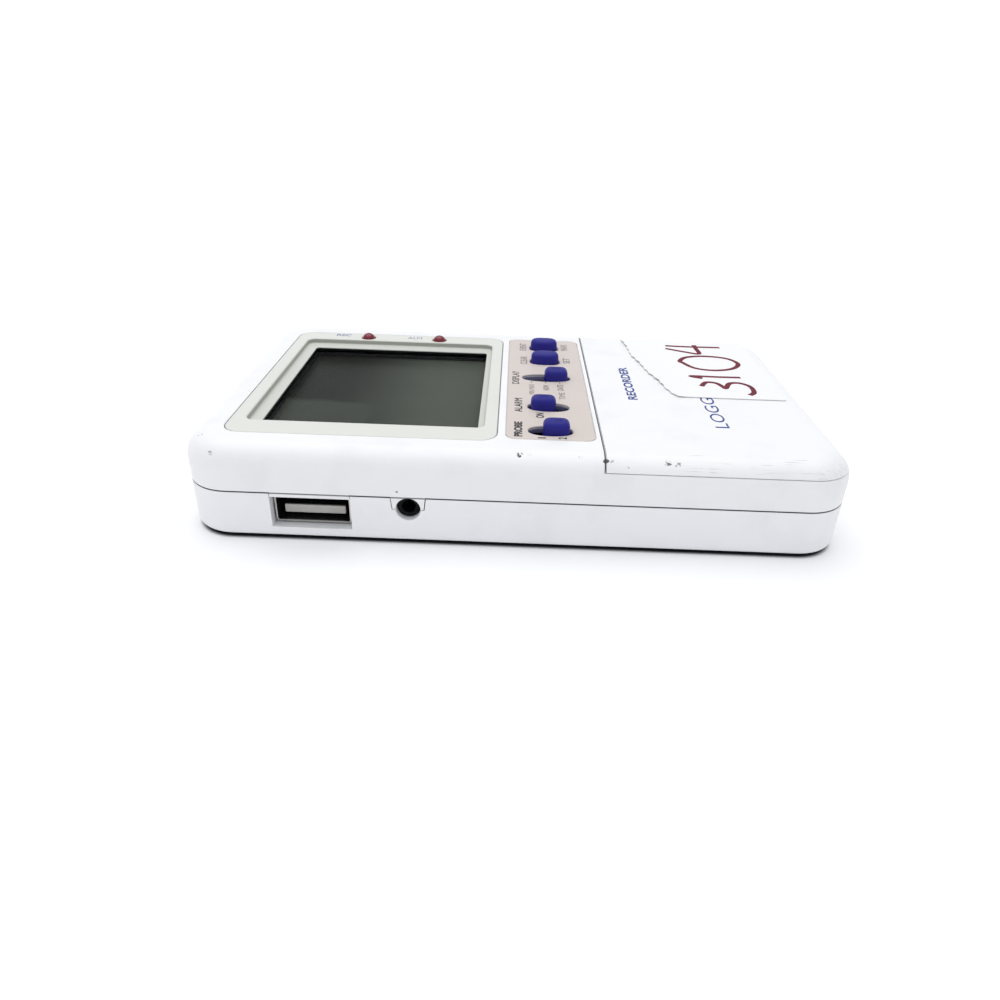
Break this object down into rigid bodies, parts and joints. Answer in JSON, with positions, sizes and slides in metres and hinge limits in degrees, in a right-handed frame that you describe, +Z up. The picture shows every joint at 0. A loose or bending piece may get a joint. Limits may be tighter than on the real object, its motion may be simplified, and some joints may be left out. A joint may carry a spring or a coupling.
{
  "type": "data logger",
  "caption": "Flat hand-held data logger with a recessed display, press keys, slide switches, a USB socket and probe jacks, standing on low feet.",
  "frame": {"origin": "middle of the surface that the feet stand on, under the middle of the case", "axes": "+X along the case from the display towards the battery cover, +Y across it away from the USB socket, +Z up out of the display"},
  "size_m": [0.114, 0.07, 0.0196],
  "materials": {
    "case_white": "satin moulded ABS, fine spark texture",
    "bezel_grey_green": "satin",
    "window_clear": "polished clear acrylic",
    "display_glass": "polariser film on glass, no segments lit",
    "black_plastic": "satin black",
    "elastomer": "matte",
    "overlay_beige": "printed film, satin",
    "key_blue": "satin moulded",
    "lamp_red": "tinted epoxy, unlit",
    "board_green": "solder mask",
    "chip_black": "matte",
    "steel": "nickel plated",
    "tongue_beige": "satin",
    "cell_sleeve": "printed sleeve",
    "wire_red": "satin insulation",
    "foot_rubber": "matte",
    "paper": "matte, slightly wrinkled"
  },
  "bodies": {
    "case": {"top_case": "case_white", "bottom_case": "case_white", "lcd_bezel": "bezel_grey_green", "lcd_window": "window_clear", "lcd_cell": "display_glass", "lcd_holder": "black_plastic", "elastomer_near": "elastomer", "elastomer_far": "elastomer", "record_lamp": "lamp_red", "alert_lamp": "lamp_red", "record_lamp_spacer": "case_white", "alert_lamp_spacer": "case_white", "keypad_overlay": "overlay_beige", "main_board": "board_green", "controller_chip": "chip_black", "memory_chip": "chip_black", "crystal_can": "steel", "buzzer": "black_plastic", "event_tact_switch": "steel", "clear_tact_switch": "steel", "display_switch_body": "steel", "alarm_switch_body": "steel", "probe_switch_body": "steel", "usb_shell": "steel", "usb_tongue": "tongue_beige", "probe_jack_1": "black_plastic", "probe_jack_2": "black_plastic", "battery_1": "cell_sleeve", "battery_2": "cell_sleeve", "bridge_contact": "steel", "negative_contact": "steel", "positive_contact": "steel", "contact_spring_1": "steel", "contact_spring_2": "steel", "negative_wire": "black_plastic", "positive_wire": "wire_red", "case_screw_1": "steel", "case_screw_2": "steel", "case_screw_3": "steel", "case_screw_4": "steel", "board_screw_1": "steel", "board_screw_2": "steel", "foot_1": "foot_rubber", "foot_2": "foot_rubber", "foot_3": "foot_rubber", "foot_4": "foot_rubber"},
    "cover": {"battery_cover": "case_white", "cover_label": "paper"},
    "event_key": {"event_button": "key_blue", "event_plunger": "black_plastic"},
    "clear_key": {"clear_button": "key_blue", "clear_plunger": "black_plastic"},
    "display_slider": {"display_knob": "key_blue", "display_actuator": "black_plastic"},
    "alarm_slider": {"alarm_knob": "key_blue", "alarm_actuator": "black_plastic"},
    "probe_slider": {"probe_knob": "key_blue", "probe_actuator": "black_plastic"}
  },
  "joints": [
    {"name": "cover_slide", "type": "slide", "parent": "case", "child": "cover", "axis": [1, 0, 0], "range_m": [0, 0.045]},
    {"name": "event_press", "type": "slide", "parent": "case", "child": "event_key", "axis": [0, 0, -1], "range_m": [0, 0.0005], "stiffness_N_per_m": 3200},
    {"name": "clear_press", "type": "slide", "parent": "case", "child": "clear_key", "axis": [0, 0, -1], "range_m": [0, 0.0005], "stiffness_N_per_m": 3200},
    {"name": "display_slide", "type": "slide", "parent": "case", "child": "display_slider", "axis": [1, 0, 0], "range_m": [-0.004, 0]},
    {"name": "alarm_slide", "type": "slide", "parent": "case", "child": "alarm_slider", "axis": [1, 0, 0], "range_m": [0, 0.002]},
    {"name": "probe_slide", "type": "slide", "parent": "case", "child": "probe_slider", "axis": [1, 0, 0], "range_m": [-0.002, 0]}
  ]
}
